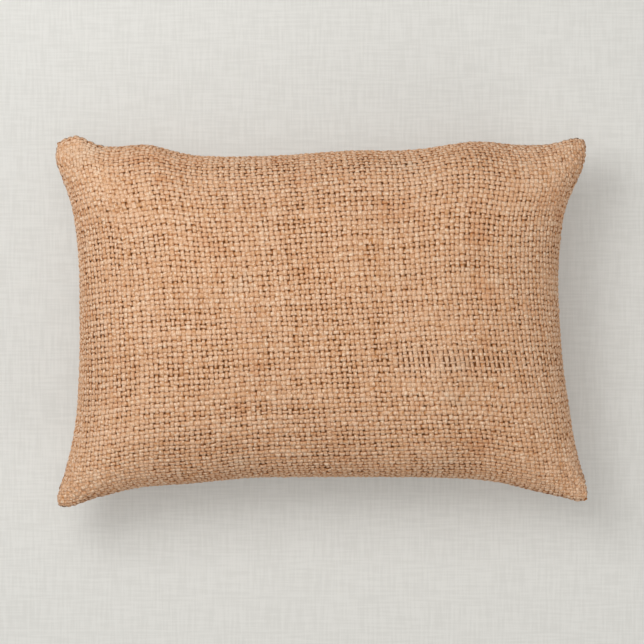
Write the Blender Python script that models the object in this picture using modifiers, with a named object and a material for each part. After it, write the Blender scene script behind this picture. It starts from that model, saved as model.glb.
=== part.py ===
"""Ring bearer pillow: a burlap cover, lined, with a zip across the lower back and a stuffed insert.

The pillow lies on its back. X runs along its width, Y up its face and Z through its thickness.
The origin is the middle of its footprint, on the surface it lies on. Lengths are in metres.
"""
import functools
import math

import bmesh
import bpy
from mathutils import Matrix, Vector

MM = 0.001

# ---- driving sizes --------------------------------------------------------------------------

# Cover, seen from the front. Each side bows in from its corners: how far out its middle lies,
# how much further out its corners lie, and how sharply it rises towards them.
TOP_SIDE = (77.7 * MM, 15.1 * MM, 4.7)
BOTTOM_SIDE = (73.2 * MM, 18.1 * MM, 4.75)
LEFT_SIDE = (113.6 * MM, 17.6 * MM, 3.1)
RIGHT_SIDE = (111.2 * MM, 20.0 * MM, 2.95)

# Puckers along the sides: place (share of the half side), height and half width of each swell.
TOP_PUCKERS = ((-0.867, 2.8 * MM, 0.065), (-0.616, 4.1 * MM, 0.112), (0.16, 3.0 * MM, 0.26),
               (0.546, 6.0 * MM, 0.176))
BOTTOM_PUCKERS = ((-0.863, 3.9 * MM, 0.25), (-0.477, 2.3 * MM, 0.175), (0.773, 1.9 * MM, 0.13))
LEFT_PUCKERS = ((0.845, 2.4 * MM, 0.236),)
RIGHT_PUCKERS = ((-0.5, 3.9 * MM, 0.45), (0.766, 2.8 * MM, 0.125))

CORNER_HALF_WIDTH = 126.5 * MM
CORNER_HALF_HEIGHT = 87.0 * MM
EAR_RADIUS_TOP_LEFT = 21 * MM
EAR_RADIUS_TOP_RIGHT = 16.5 * MM
EAR_RADIUS_BOTTOM_LEFT = 17 * MM
EAR_RADIUS_BOTTOM_RIGHT = 16.5 * MM

SEAM_HEIGHT = 36 * MM
FRONT_RISE = 39 * MM
BACK_DROP = 38.5 * MM
CROWN_POWER_X = 3.4
CROWN_POWER_Y = 2.4
GAP = 0.3 * MM

# Layers, each by its depth under the outside of the cover.
BURLAP = (0.0 * MM, 1.2 * MM)
LINING = (1.8 * MM, 2.2 * MM)
EDGE_THREAD_DEPTH = 2.95 * MM
CASING = (3.6 * MM, 4.1 * MM)
CASING_THREAD_DEPTH = 4.85 * MM
FILL_DEPTH = 5.6 * MM
THREAD_RADIUS = 0.25 * MM

# Zip, across the lower back. Its plane touches the back where the half height is ZIP_PLACE.
ZIP_PLACE = -0.88
ZIP_SINK = 0.7 * MM
ZIP_FLAT_HALF_LENGTH = 82 * MM
ZIP_FLAT_HALF_WIDTH = 9.5 * MM
ZIP_BLEND_LENGTH = 24 * MM
ZIP_BLEND_WIDTH = 9 * MM
SLOT_HALF_LENGTH = 78 * MM
SLOT_END = 11 * MM
SLOT_HALF_WIDTH = 5 * MM
LINING_SLOT_HALF_WIDTH = 9.0 * MM
SEAM_HALF_GAP = 0.2 * MM
INSERT_DEPTH_AT_ZIP = 5.2 * MM

TAPE_INNER = 1.1 * MM
TAPE_OUTER = 8.5 * MM
TAPE_HALF_LENGTH = 71.5 * MM
TAPE_LAYER = (-2.1 * MM, -1.5 * MM)
COIL_LAYER = (-1.2 * MM, 0.4 * MM)
COIL_SPINE = (1.5 * MM, 2.2 * MM)
COIL_REACH = 0.55 * MM
COIL_PITCH = 2.0 * MM
COIL_TOOTH = 0.7 * MM
COIL_START = -65.7 * MM
COIL_COUNT = 63
STOP_CENTRES = (-67.2 * MM, 66.2 * MM)
TOP_STOP_ACROSS = (1.35 * MM, 3.2 * MM)
TOP_STOP_HALF_LENGTH = 0.8 * MM
BOTTOM_STOP_HALF_WIDTH = 2.6 * MM
BOTTOM_STOP_HALF_LENGTH = 1.0 * MM
TOPSTITCH_FROM_EDGE = 2.2 * MM
BAR_TACK_PLACE = 70.0 * MM
BAR_TACK_HALF_WIDTH = 3.6 * MM
BAR_TACK_REACH = (0.8 * MM, 0.6 * MM)
BAR_TACK_RISE = 0.3 * MM
BAR_TACK_TURNS = 8

SLIDER_CENTRE = 60 * MM
SLIDER_LENGTH = 9.5 * MM
SLIDER_LAYER = (-3.2 * MM, 1.5 * MM)
CHANNEL_LAYER = (-2.4 * MM, 0.7 * MM)
CHANNEL_HALF = (2.5 * MM, 3.3 * MM)
FLANGE = 0.75 * MM
EYE_PLACE = 60.5 * MM
EYE_HEIGHT = 2.3 * MM
EYE_HALF_LENGTH = 2.0 * MM
EYE_RISE = 3.4 * MM
EYE_WIRE = 0.38 * MM
EYE_ROUND = 0.9 * MM
POST_TIP = 4.2 * MM
POST_SHOULDER = 3.2 * MM
POST_END = 0.6 * MM
POST_HALF_WIDTH = 0.8 * MM
PLATE_OVERLAP = 0.1 * MM

PULL_LENGTH = 15 * MM
PULL_THICKNESS = 0.8 * MM
PULL_BAR = 0.8 * MM
PULL_WINDOW = (3.4 * MM, 1.0 * MM)
PULL_NECK_HALF = 2.0 * MM
PULL_TIP_HALF = 2.7 * MM
PULL_SHOULDER = 4.6 * MM
PULL_HOLE_RADIUS = 1.1 * MM
PULL_HOLE_SIDES = 12
PULL_SOFT_EDGE = 0.15 * MM
ARC_STEPS = 8

COLUMNS = 24
ROWS_TO_TOP = 8
ROWS_TO_BOTTOM = 4
ROWS_BESIDE_ZIP = (9.5 * MM, 14 * MM, 20 * MM)
TURNING_GAP_COLUMNS = 2
CLOSING_STITCHES = 20
CLOSING_STITCH_WIDTH = 0.2 * MM

# ---- collections and materials --------------------------------------------------------------

FINISHES = {
    "burlap": ((0.55, 0.32, 0.19), 0.95, 0.0),
    "lining": ((0.30, 0.17, 0.09), 0.9, 0.0),
    "thread": ((0.50, 0.33, 0.20), 0.7, 0.0),
    "tape": ((0.52, 0.38, 0.25), 0.85, 0.0),
    "coil": ((0.50, 0.37, 0.25), 0.4, 0.0),
    "antique_brass": ((0.42, 0.30, 0.16), 0.35, 1.0),
    "casing": ((0.86, 0.84, 0.80), 0.85, 0.0),
    "fibre": ((0.92, 0.92, 0.90), 0.95, 0.0),
}


def clear_scene():
    for old in list(bpy.data.objects):
        bpy.data.objects.remove(old, do_unlink=True)


def new_collection(name):
    group = bpy.data.collections.new(name)
    bpy.context.scene.collection.children.link(group)
    return group


def finish_material(name):
    material = bpy.data.materials.get(name)
    if material:
        return material
    colour, roughness, metallic = FINISHES[name]
    material = bpy.data.materials.new(name)
    material.use_nodes = True
    shader = material.node_tree.nodes["Principled BSDF"]
    shader.inputs["Base Color"].default_value = (*colour, 1.0)
    shader.inputs["Roughness"].default_value = roughness
    shader.inputs["Metallic"].default_value = metallic
    return material


def add_object(name, data, finish, group):
    piece = bpy.data.objects.new(name, data)
    group.objects.link(piece)
    if finish:
        data.materials.append(finish_material(finish))
    return piece


def add_mesh(name, bm, finish, group, smooth_angle=35):
    bmesh.ops.triangulate(bm, faces=bm.faces, quad_method="FIXED")
    bmesh.ops.recalc_face_normals(bm, faces=bm.faces)
    if bm.calc_volume(signed=True) < 0:
        bmesh.ops.reverse_faces(bm, faces=bm.faces)
    mesh = bpy.data.meshes.new(name)
    bm.to_mesh(mesh)
    bm.free()
    mesh.shade_smooth()
    mesh.set_sharp_from_angle(angle=math.radians(smooth_angle))
    return add_object(name, mesh, finish, group)


# ---- the pillow's form ----------------------------------------------------------------------

def side_reach(side, puckers, share):
    """How far out a side lies, at a share (-1 to 1) of its half length."""
    middle, rise, power = side
    reach = middle + rise * abs(share) ** power
    for place, height, width in puckers:
        reach += height * math.exp(-(((share - place) / width) ** 2))
    return reach


def round_corner(s, t):
    """Turns the square corners of the (s, t) sheet into round ears."""
    top, bottom = EAR_RADIUS_TOP_RIGHT, EAR_RADIUS_BOTTOM_RIGHT
    if s < 0:
        top, bottom = EAR_RADIUS_TOP_LEFT, EAR_RADIUS_BOTTOM_LEFT
    radius = top if t >= 0 else bottom
    s_start = 1 - radius / CORNER_HALF_WIDTH
    t_start = 1 - radius / CORNER_HALF_HEIGHT
    p = (abs(s) - s_start) / (1 - s_start)
    q = (abs(t) - t_start) / (1 - t_start)
    if p <= 0 or q <= 0:
        return s, t
    p_round = p * math.sqrt(1 - q * q / 2)
    q_round = q * math.sqrt(1 - p * p / 2)
    s_out = s_start + p_round * (1 - s_start)
    t_out = t_start + q_round * (1 - t_start)
    return math.copysign(s_out, s), math.copysign(t_out, t)


def plan_point(s, t, depth):
    """Place on the pillow seen from the front, for a layer at this depth under the cover."""
    across = RIGHT_SIDE if s >= 0 else LEFT_SIDE
    across_puckers = RIGHT_PUCKERS if s >= 0 else LEFT_PUCKERS
    along = TOP_SIDE if t >= 0 else BOTTOM_SIDE
    along_puckers = TOP_PUCKERS if t >= 0 else BOTTOM_PUCKERS
    s_round, t_round = round_corner(s, t)
    x = s_round * (side_reach(across, across_puckers, t_round) - depth)
    y = t_round * (side_reach(along, along_puckers, s_round) - depth)
    return x, y


def crown(s, t):
    """Height of the form at (s, t), from 1 in the middle to 0 on the seam."""
    across = max(1 - abs(s) ** CROWN_POWER_X, 0)
    along = max(1 - abs(t) ** CROWN_POWER_Y, 0)
    return math.sqrt(across * along)


def front_point(s, t, depth):
    x, y = plan_point(s, t, depth)
    return Vector((x, y, SEAM_HEIGHT + GAP / 2 + (FRONT_RISE - depth) * crown(s, t)))


def back_form(s, t, depth):
    """The back before the zip flattens it, resting on the surface the pillow lies on."""
    x, y = plan_point(s, t, depth)
    z = SEAM_HEIGHT - GAP / 2 - (BACK_DROP - depth) * crown(s, t)
    return Vector((x, y, max(z, depth)))


def zip_frame():
    """Origin of the zip, direction across its tapes (towards the seam), and outward normal.

    The zip's plane lies a little inside the round of the back, because its tapes pull it flat.
    """
    step = 0.01
    inner = back_form(0, ZIP_PLACE + step, 0)
    outer = back_form(0, ZIP_PLACE - step, 0)
    origin = back_form(0, ZIP_PLACE, 0)
    across = outer - inner
    across.x = 0
    across.normalize()
    normal = Vector((1, 0, 0)).cross(across)
    return origin - normal * ZIP_SINK, across, normal


ZIP_ORIGIN, ZIP_ACROSS, ZIP_NORMAL = zip_frame()
ZIP_MATRIX = Matrix.Translation(ZIP_ORIGIN) @ Matrix(
    (Vector((1, 0, 0)), ZIP_ACROSS, ZIP_NORMAL)).transposed().to_4x4()


@functools.lru_cache(maxsize=None)
def zip_distance(t):
    """How far t lies from the zip along the middle of the back, positive towards the seam."""
    steps = 24
    path = [back_form(0, ZIP_PLACE + (t - ZIP_PLACE) * step / steps, 0)
            for step in range(steps + 1)]
    length = sum((there - here).length for here, there in zip(path, path[1:]))
    return math.copysign(length, ZIP_PLACE - t)


@functools.lru_cache(maxsize=None)
def place_at(distance):
    """The t that lies this far from the zip; the other way round from zip_distance."""
    low, high = -1, 0
    for _ in range(30):
        middle = (low + high) / 2
        if zip_distance(middle) > distance:
            low = middle
        else:
            high = middle
    return (low + high) / 2


def fade(distance, full, blend):
    """1 up to full, then a smooth fall to 0 over blend."""
    share = min(max((abs(distance) - full) / blend, 0), 1)
    return 1 - share * share * (3 - 2 * share)


def back_point(s, t, depth, depth_at_zip):
    """The back, flat where the zip is sewn in."""
    free = back_form(s, t, depth)
    v = zip_distance(t)
    flat = ZIP_ORIGIN + ZIP_ACROSS * v - ZIP_NORMAL * depth_at_zip
    flat.x = free.x
    weight = fade(free.x, ZIP_FLAT_HALF_LENGTH, ZIP_BLEND_LENGTH)
    weight *= fade(v, ZIP_FLAT_HALF_WIDTH, ZIP_BLEND_WIDTH)
    return free.lerp(flat, weight)


# ---- shells ---------------------------------------------------------------------------------

def column_share(column):
    return math.sin((column / COLUMNS - 0.5) * math.pi)


def slot_width(s, half_width):
    """Half width of the zip opening at s, which closes to a seam past the ends of the zip."""
    x = abs(plan_point(s, ZIP_PLACE, 0)[0])
    open_share = min(max((SLOT_HALF_LENGTH + SLOT_END - x) / SLOT_END, 0), 1)
    return SEAM_HALF_GAP + (half_width - SEAM_HALF_GAP) * open_share


def main_rows(s, half_width):
    """Rows of the back above the zip, from the zip opening to the top seam."""
    rows = [place_at(-distance) for distance in (slot_width(s, half_width), *ROWS_BESIDE_ZIP)]
    start = math.asin(rows[-1])
    for row in range(1, ROWS_TO_TOP + 1):
        rows.append(math.sin(start + (math.pi / 2 - start) * row / ROWS_TO_TOP))
    return rows


def strip_rows(s, half_width):
    """Rows of the strip between the bottom seam and the zip opening."""
    start = math.asin(place_at(ROWS_BESIDE_ZIP[0]))
    rows = [math.sin(-math.pi / 2 + (start + math.pi / 2) * row / ROWS_TO_BOTTOM)
            for row in range(ROWS_TO_BOTTOM + 1)]
    return rows + [place_at(slot_width(s, half_width))]


def whole_rows(s):
    """Rows of a layer with no opening, from the bottom seam to the top seam."""
    return strip_rows(s, 0)[:-1] + [ZIP_PLACE] + main_rows(s, 0)[1:]


def layer_grid(bm, rows_at, point_at):
    """A grid of faces over the form. Returns its vertices by (column, row)."""
    row_count = len(rows_at(0)) - 1
    made = bmesh.ops.create_grid(bm, x_segments=COLUMNS, y_segments=row_count, size=1)
    table = {}
    for vertex in made["verts"]:
        column = round((vertex.co.x + 1) / 2 * COLUMNS)
        row = round((vertex.co.y + 1) / 2 * row_count)
        s = column_share(column)
        vertex.co = point_at(s, rows_at(s)[row])
        table[(column, row)] = vertex
    return table, row_count


def rim_keys(row_count):
    keys = [(column, 0) for column in range(COLUMNS)]
    keys += [(COLUMNS, row) for row in range(row_count)]
    keys += [(column, row_count) for column in range(COLUMNS, 0, -1)]
    keys += [(0, row) for row in range(row_count, 0, -1)]
    return keys


def close_rim(bm, outside, inside, row_count):
    """Faces between the outer and the inner sheet, all the way round."""
    keys = rim_keys(row_count)
    for here, there in zip(keys, keys[1:] + keys[:1]):
        bm.faces.new((outside[here], outside[there], inside[there], inside[here]))


def add_shell(name, rows_at, outer_at, inner_at, finish, group):
    bm = bmesh.new()
    outside, row_count = layer_grid(bm, rows_at, outer_at)
    inside, row_count = layer_grid(bm, rows_at, inner_at)
    close_rim(bm, outside, inside, row_count)
    return add_mesh(name, bm, finish, group)


def add_front(name, layer, finish, group):
    outer, inner = layer
    add_shell(name, whole_rows,
              lambda s, t: front_point(s, t, outer),
              lambda s, t: front_point(s, t, inner), finish, group)


def add_back(name, layer, rows_at, finish, group):
    outer, inner = layer
    add_shell(name, rows_at,
              lambda s, t: back_point(s, t, outer, outer),
              lambda s, t: back_point(s, t, inner, inner), finish, group)


def add_insert_back(name, group):
    outer, inner = CASING
    deeper = INSERT_DEPTH_AT_ZIP + inner - outer
    add_shell(name, whole_rows,
              lambda s, t: back_point(s, t, outer, INSERT_DEPTH_AT_ZIP),
              lambda s, t: back_point(s, t, inner, deeper), "casing", group)


def add_fill(group):
    """The loose fibre, as one closed form that follows the casing."""
    bm = bmesh.new()
    deeper = INSERT_DEPTH_AT_ZIP + FILL_DEPTH - CASING[0]
    front, row_count = layer_grid(bm, whole_rows, lambda s, t: front_point(s, t, FILL_DEPTH))
    back, row_count = layer_grid(bm, whole_rows, lambda s, t: back_point(s, t, FILL_DEPTH, deeper))
    close_rim(bm, front, back, row_count)
    return add_mesh("insert_fill", bm, "fibre", group)


# ---- threads --------------------------------------------------------------------------------

def add_thread(name, points, finish, group, closed=False, radius=THREAD_RADIUS, place=None):
    curve = bpy.data.curves.new(name, "CURVE")
    curve.dimensions = "3D"
    curve.bevel_depth = radius
    curve.bevel_resolution = 0
    curve.use_fill_caps = not closed
    spline = curve.splines.new("POLY")
    spline.points.add(len(points) - 1)
    for point, place_of in zip(spline.points, points):
        point.co = (*place_of, 1)
    spline.use_cyclic_u = closed
    thread = add_object(name, curve, finish, group)
    if place:
        thread.matrix_world = place
    return thread


def edge_loop(depth):
    """Points round the seam, this deep inside the cover's edge."""
    shares = [column_share(column) for column in range(COLUMNS + 1)]
    rows = whole_rows(1)
    path = [(s, -1) for s in shares[:-1]] + [(1, t) for t in rows[:-1]]
    path += [(s, 1) for s in shares[:0:-1]] + [(-1, t) for t in rows[:0:-1]]
    return [Vector((*plan_point(s, t, depth), SEAM_HEIGHT)) for s, t in path]


def insert_seam():
    """The insert's seam, from one end of its turning gap round to the other."""
    loop = edge_loop(CASING_THREAD_DEPTH)
    middle = COLUMNS // 2
    start = middle + TURNING_GAP_COLUMNS
    return loop[start:] + loop[:middle - TURNING_GAP_COLUMNS + 1]


def closing_stitches():
    """Hand stitches across the turning gap, in the middle of the insert's bottom edge."""
    points = []
    reach = column_share(COLUMNS // 2 + TURNING_GAP_COLUMNS) - 0.01
    for turn in range(CLOSING_STITCHES + 1):
        s = -reach + 2 * reach * turn / CLOSING_STITCHES
        x, y = plan_point(s, -1, CASING_THREAD_DEPTH)
        points.append((x, y + (CLOSING_STITCH_WIDTH if turn % 2 else 0), SEAM_HEIGHT))
    return points


def satin_bar(x, low):
    """A bar tack: thread packed side by side across the end of the zip."""
    points = []
    step = 2 * BAR_TACK_HALF_WIDTH / BAR_TACK_TURNS
    foot, shoulder = BAR_TACK_REACH
    high = low + BAR_TACK_RISE
    for turn in range(BAR_TACK_TURNS + 1):
        side = 1 if turn % 2 else -1
        v = -BAR_TACK_HALF_WIDTH + turn * step
        points += [(x + side * foot, v, low), (x + side * shoulder, v, high)]
        points += [(x - side * shoulder, v + step / 2, high)]
    return points


def back_seam_points(side):
    """The seam beside the zip, just inside the lining, from the zip's end to the side seam."""
    shares = [side * column_share(column) for column in range(COLUMNS - 4, COLUMNS - 1)]
    return [back_point(s, ZIP_PLACE, EDGE_THREAD_DEPTH, EDGE_THREAD_DEPTH) for s in shares]


def add_threads(group):
    add_thread("edge_seam_thread", edge_loop(EDGE_THREAD_DEPTH), "thread", group, closed=True)
    add_thread("insert_seam_thread", insert_seam(), "casing", group)
    add_thread("insert_closing_thread", closing_stitches(), "casing", group)
    for name, side in (("back_seam_thread_left", -1), ("back_seam_thread_right", 1)):
        add_thread(name, back_seam_points(side), "thread", group)
    low = THREAD_RADIUS + GAP
    row = SLOT_HALF_WIDTH + TOPSTITCH_FROM_EDGE
    reach = SLOT_HALF_LENGTH - 2 * MM
    for name, v in (("zip_topstitch_upper", row), ("zip_topstitch_lower", -row)):
        add_thread(name, [(-reach, v, low), (0, v, low), (reach, v, low)], "thread", group,
                   place=ZIP_MATRIX)
    for name, x in (("zip_bar_tack_left", -BAR_TACK_PLACE), ("zip_bar_tack_right", BAR_TACK_PLACE)):
        add_thread(name, satin_bar(x, TAPE_LAYER[1] + low), "thread", group, place=ZIP_MATRIX)


# ---- zip ------------------------------------------------------------------------------------

def outline_object(name, outlines, layer, finish, group):
    """A flat outline given thickness from layer[0] to layer[1]; further outlines are holes."""
    low, high = layer
    curve = bpy.data.curves.new(name, "CURVE")
    curve.dimensions = "2D"
    curve.fill_mode = "BOTH"
    curve.extrude = (high - low) / 2
    for outline in outlines:
        spline = curve.splines.new("POLY")
        spline.points.add(len(outline) - 1)
        for point, (x, y) in zip(spline.points, outline):
            point.co = (x, y, 0, 1)
        spline.use_cyclic_u = True
    piece = add_object(name, curve, finish, group)
    piece.location.z = (high + low) / 2
    return piece


def as_mesh(piece, group):
    """Turns a curve object into a welded mesh in the zip's own frame."""
    bpy.context.view_layer.update()
    evaluated = piece.evaluated_get(bpy.context.evaluated_depsgraph_get())
    mesh = bpy.data.meshes.new_from_object(evaluated)
    mesh.transform(piece.matrix_world)
    bm = bmesh.new()
    bm.from_mesh(mesh)
    bmesh.ops.remove_doubles(bm, verts=bm.verts, dist=0.00001)
    bmesh.ops.recalc_face_normals(bm, faces=bm.faces)
    bm.to_mesh(mesh)
    bm.free()
    name = piece.name
    bpy.data.objects.remove(piece, do_unlink=True)
    return add_object(name, mesh, None, group)


def box_outline(x0, x1, y0, y1):
    return [(x0, y0), (x1, y0), (x1, y1), (x0, y1)]


def add_zip_part(name, outlines, layer, finish, group):
    """A flat zip part, stood in the zip's plane on the back of the cover."""
    piece = as_mesh(outline_object(name, outlines, layer, finish, group), group)
    piece.matrix_world = ZIP_MATRIX
    return piece


def coil_outline(side):
    """One row of teeth: a spine with teeth that reach past the middle, side 1 or -1."""
    spine_inner, spine_outer = COIL_SPINE
    start = COIL_START + (COIL_PITCH / 2 if side > 0 else 0)
    end = start + COIL_COUNT * COIL_PITCH - (COIL_PITCH - COIL_TOOTH)
    points = [(end, side * spine_outer), (start, side * spine_outer)]
    for tooth in range(COIL_COUNT):
        x = start + tooth * COIL_PITCH
        points += [(x, -side * COIL_REACH), (x + COIL_TOOTH, -side * COIL_REACH)]
        if tooth < COIL_COUNT - 1:
            points += [(x + COIL_TOOTH, side * spine_inner),
                       (x + COIL_PITCH, side * spine_inner)]
    return points


def add_tapes_and_coils(group):
    for name, side in (("upper", 1), ("lower", -1)):
        edges = sorted((side * TAPE_INNER, side * TAPE_OUTER))
        tape = box_outline(-TAPE_HALF_LENGTH, TAPE_HALF_LENGTH, *edges)
        add_zip_part("zip_tape_" + name, [tape], TAPE_LAYER, "tape", group)
        add_zip_part("zip_coil_" + name, [coil_outline(side)], COIL_LAYER, "coil", group)
        edges = sorted(side * edge for edge in TOP_STOP_ACROSS)
        stop = box_outline(STOP_CENTRES[1] - TOP_STOP_HALF_LENGTH,
                           STOP_CENTRES[1] + TOP_STOP_HALF_LENGTH, *edges)
        add_zip_part("zip_top_stop_" + name, [stop], COIL_LAYER, "antique_brass", group)
    stop = box_outline(STOP_CENTRES[0] - BOTTOM_STOP_HALF_LENGTH,
                       STOP_CENTRES[0] + BOTTOM_STOP_HALF_LENGTH,
                       -BOTTOM_STOP_HALF_WIDTH, BOTTOM_STOP_HALF_WIDTH)
    add_zip_part("zip_bottom_stop", [stop], COIL_LAYER, "antique_brass", group)


def wedge_outline(x0, x1, half_at_x0, half_at_x1):
    return [(x0, -half_at_x0), (x1, -half_at_x1), (x1, half_at_x1), (x0, half_at_x0)]


def boolean(piece, tool, operation):
    modifier = piece.modifiers.new(tool.name, "BOOLEAN")
    modifier.operation = operation
    modifier.object = tool
    modifier.solver = "EXACT"
    tool.hide_render = True
    tool.display_type = "WIRE"


def add_slider(group, tools):
    """The slider: two plates, joined by the wedge that parts the teeth, with an eye on top."""
    rear = SLIDER_CENTRE - SLIDER_LENGTH / 2
    front = SLIDER_CENTRE + SLIDER_LENGTH / 2
    halves = [half + FLANGE for half in CHANNEL_HALF]
    body = wedge_outline(rear, front, *halves)
    slider = as_mesh(outline_object("zip_slider", [body], SLIDER_LAYER, None, group), group)
    slider.data.materials.append(finish_material("antique_brass"))
    channel = wedge_outline(rear - MM, front + MM, *CHANNEL_HALF)
    tape_way = box_outline(rear - MM, front + MM, -TAPE_OUTER, TAPE_OUTER)
    wedge = [(front - POST_TIP, 0), (front - POST_SHOULDER, -POST_HALF_WIDTH),
             (front - POST_END, -POST_HALF_WIDTH), (front - POST_END, POST_HALF_WIDTH),
             (front - POST_SHOULDER, POST_HALF_WIDTH)]
    cuts = (("channel_cut", channel, CHANNEL_LAYER), ("tape_cut", tape_way,
            (CHANNEL_LAYER[0], COIL_LAYER[0])))
    for name, outline, layer in cuts:
        boolean(slider, as_mesh(outline_object(name, [outline], layer, None, tools), tools),
                "DIFFERENCE")
    post_layer = (SLIDER_LAYER[0] + PLATE_OVERLAP, SLIDER_LAYER[1] - PLATE_OVERLAP)
    post = as_mesh(outline_object("wedge_post", [wedge], post_layer, None, tools), tools)
    boolean(slider, post, "UNION")
    boolean(slider, eye_loop(tools), "UNION")
    slider.matrix_world = ZIP_MATRIX
    for tool in tools.objects:
        tool.matrix_world = ZIP_MATRIX
    return slider


def eye_loop(tools):
    """The eye that holds the pull: a low arch of wire along the slider."""
    foot = SLIDER_LAYER[1] - 3 * PLATE_OVERLAP
    shoulder = EYE_RISE - EYE_ROUND
    points = [(EYE_PLACE - EYE_HALF_LENGTH, 0, foot)]
    for step in range(ARC_STEPS + 1):
        angle = math.pi * (1 - step / ARC_STEPS)
        x = EYE_PLACE + EYE_HALF_LENGTH * math.cos(angle)
        points.append((x, 0, shoulder + EYE_ROUND * math.sin(angle)))
    points.append((EYE_PLACE + EYE_HALF_LENGTH, 0, foot))
    wire = add_thread("eye_wire", points, None, tools, radius=EYE_WIRE)
    wire.data.bevel_resolution = 2
    return as_mesh(wire, tools)


def pull_outline():
    """The pull's edge, from the bar at the eye to the round tip, with x away from the eye."""
    bar = -PULL_BAR / 2
    tip = PULL_LENGTH - PULL_TIP_HALF
    points = [(bar, -PULL_NECK_HALF), (PULL_SHOULDER, -PULL_NECK_HALF)]
    for step in range(ARC_STEPS + 1):
        angle = math.pi * (step / ARC_STEPS - 0.5)
        points.append((tip + PULL_TIP_HALF * math.cos(angle), PULL_TIP_HALF * math.sin(angle)))
    points += [(PULL_SHOULDER, PULL_NECK_HALF), (bar, PULL_NECK_HALF)]
    return points


def add_pull(group):
    """The pull tab. Its bar turns in the eye, and at rest it lies back along the closed teeth."""
    window = box_outline(PULL_BAR / 2, PULL_WINDOW[0], -PULL_WINDOW[1], PULL_WINDOW[1])
    centre = PULL_LENGTH - PULL_TIP_HALF
    hole = []
    for step in range(PULL_HOLE_SIDES):
        angle = math.tau * step / PULL_HOLE_SIDES
        hole.append((centre + PULL_HOLE_RADIUS * math.cos(angle),
                     PULL_HOLE_RADIUS * math.sin(angle)))
    layer = (-PULL_THICKNESS / 2, PULL_THICKNESS / 2)
    outlines = [pull_outline(), window, hole]
    pull = as_mesh(outline_object("zip_pull", outlines, layer, None, group), group)
    pull.data.materials.append(finish_material("antique_brass"))
    pull.matrix_world = (ZIP_MATRIX @ Matrix.Translation((EYE_PLACE, 0, EYE_HEIGHT))
                         @ Matrix.Rotation(math.pi, 4, "Z"))
    bevel = pull.modifiers.new("soft_edge", "BEVEL")
    bevel.width = PULL_SOFT_EDGE
    bevel.segments = 2
    bevel.limit_method = "ANGLE"
    bevel.angle_limit = math.radians(50)
    return pull


def build():
    clear_scene()
    parts = new_collection("ring_bearer_pillow")
    tools = new_collection("cutters")
    add_front("front_panel", BURLAP, "burlap", parts)
    add_front("front_lining", LINING, "lining", parts)
    add_back("back_panel", BURLAP, lambda s: main_rows(s, SLOT_HALF_WIDTH), "burlap", parts)
    add_back("back_strip", BURLAP, lambda s: strip_rows(s, SLOT_HALF_WIDTH), "burlap", parts)
    add_back("back_lining", LINING, lambda s: main_rows(s, LINING_SLOT_HALF_WIDTH), "lining",
             parts)
    add_back("strip_lining", LINING, lambda s: strip_rows(s, LINING_SLOT_HALF_WIDTH), "lining",
             parts)
    add_front("insert_casing_front", CASING, "casing", parts)
    add_insert_back("insert_casing_back", parts)
    add_fill(parts)
    add_threads(parts)
    add_tapes_and_coils(parts)
    add_slider(parts, tools)
    add_pull(parts)


build()
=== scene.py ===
"""A small plain burlap ring bearer pillow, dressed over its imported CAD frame."""
import math

import bpy
import numpy as np
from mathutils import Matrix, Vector


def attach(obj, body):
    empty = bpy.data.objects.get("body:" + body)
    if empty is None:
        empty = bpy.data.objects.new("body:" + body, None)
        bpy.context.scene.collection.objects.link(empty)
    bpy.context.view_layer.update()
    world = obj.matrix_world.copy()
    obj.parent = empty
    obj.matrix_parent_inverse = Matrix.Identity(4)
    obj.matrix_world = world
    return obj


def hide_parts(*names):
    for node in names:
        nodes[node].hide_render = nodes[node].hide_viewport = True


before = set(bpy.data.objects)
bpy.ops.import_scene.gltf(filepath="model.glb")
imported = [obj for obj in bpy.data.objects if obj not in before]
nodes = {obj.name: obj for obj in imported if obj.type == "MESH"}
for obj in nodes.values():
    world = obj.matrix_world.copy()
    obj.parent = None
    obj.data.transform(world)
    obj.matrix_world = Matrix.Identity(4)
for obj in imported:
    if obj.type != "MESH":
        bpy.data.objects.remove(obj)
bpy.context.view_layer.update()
MM = 0.001

# ---- Cover, cut and stuffed -----------------------------------------------------------------
# Two burlap panels of one size are sewn together round the edge and turned out. Stuffed tight,
# the middles of the sides draw in, the corners stay out as ears, and the back lies flat below.

CUT_WIDTH = 254 * MM
CUT_HEIGHT = 178 * MM
WARP_COUNT = 111
WEFT_COUNT = 78
WARP_PITCH = CUT_WIDTH / WARP_COUNT
WEFT_PITCH = CUT_HEIGHT / WEFT_COUNT

TOP_SIDE = (77.7 * MM, 15.1 * MM, 4.7)
BOTTOM_SIDE = (73.2 * MM, 18.1 * MM, 4.75)
LEFT_SIDE = (113.6 * MM, 17.6 * MM, 3.1)
RIGHT_SIDE = (111.2 * MM, 20.0 * MM, 2.95)
TOP_PUCKERS = ((-0.867, 2.8 * MM, 0.065), (-0.616, 4.1 * MM, 0.112), (0.16, 3.0 * MM, 0.26),
               (0.546, 6.0 * MM, 0.176))
BOTTOM_PUCKERS = ((-0.863, 3.9 * MM, 0.25), (-0.477, 2.3 * MM, 0.175), (0.773, 1.9 * MM, 0.13))
LEFT_PUCKERS = ((0.845, 2.4 * MM, 0.236),)
RIGHT_PUCKERS = ((-0.5, 3.9 * MM, 0.45), (0.766, 2.8 * MM, 0.125))
CORNER_HALF_WIDTH = 126.5 * MM
CORNER_HALF_HEIGHT = 87.0 * MM
EAR_TOP_LEFT = 21 * MM
EAR_TOP_RIGHT = 16.5 * MM
EAR_BOTTOM_LEFT = 17 * MM
EAR_BOTTOM_RIGHT = 16.5 * MM
SEAM_HEIGHT = 36 * MM
FRONT_RISE = 39 * MM
BACK_DROP = 38.5 * MM

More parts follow.
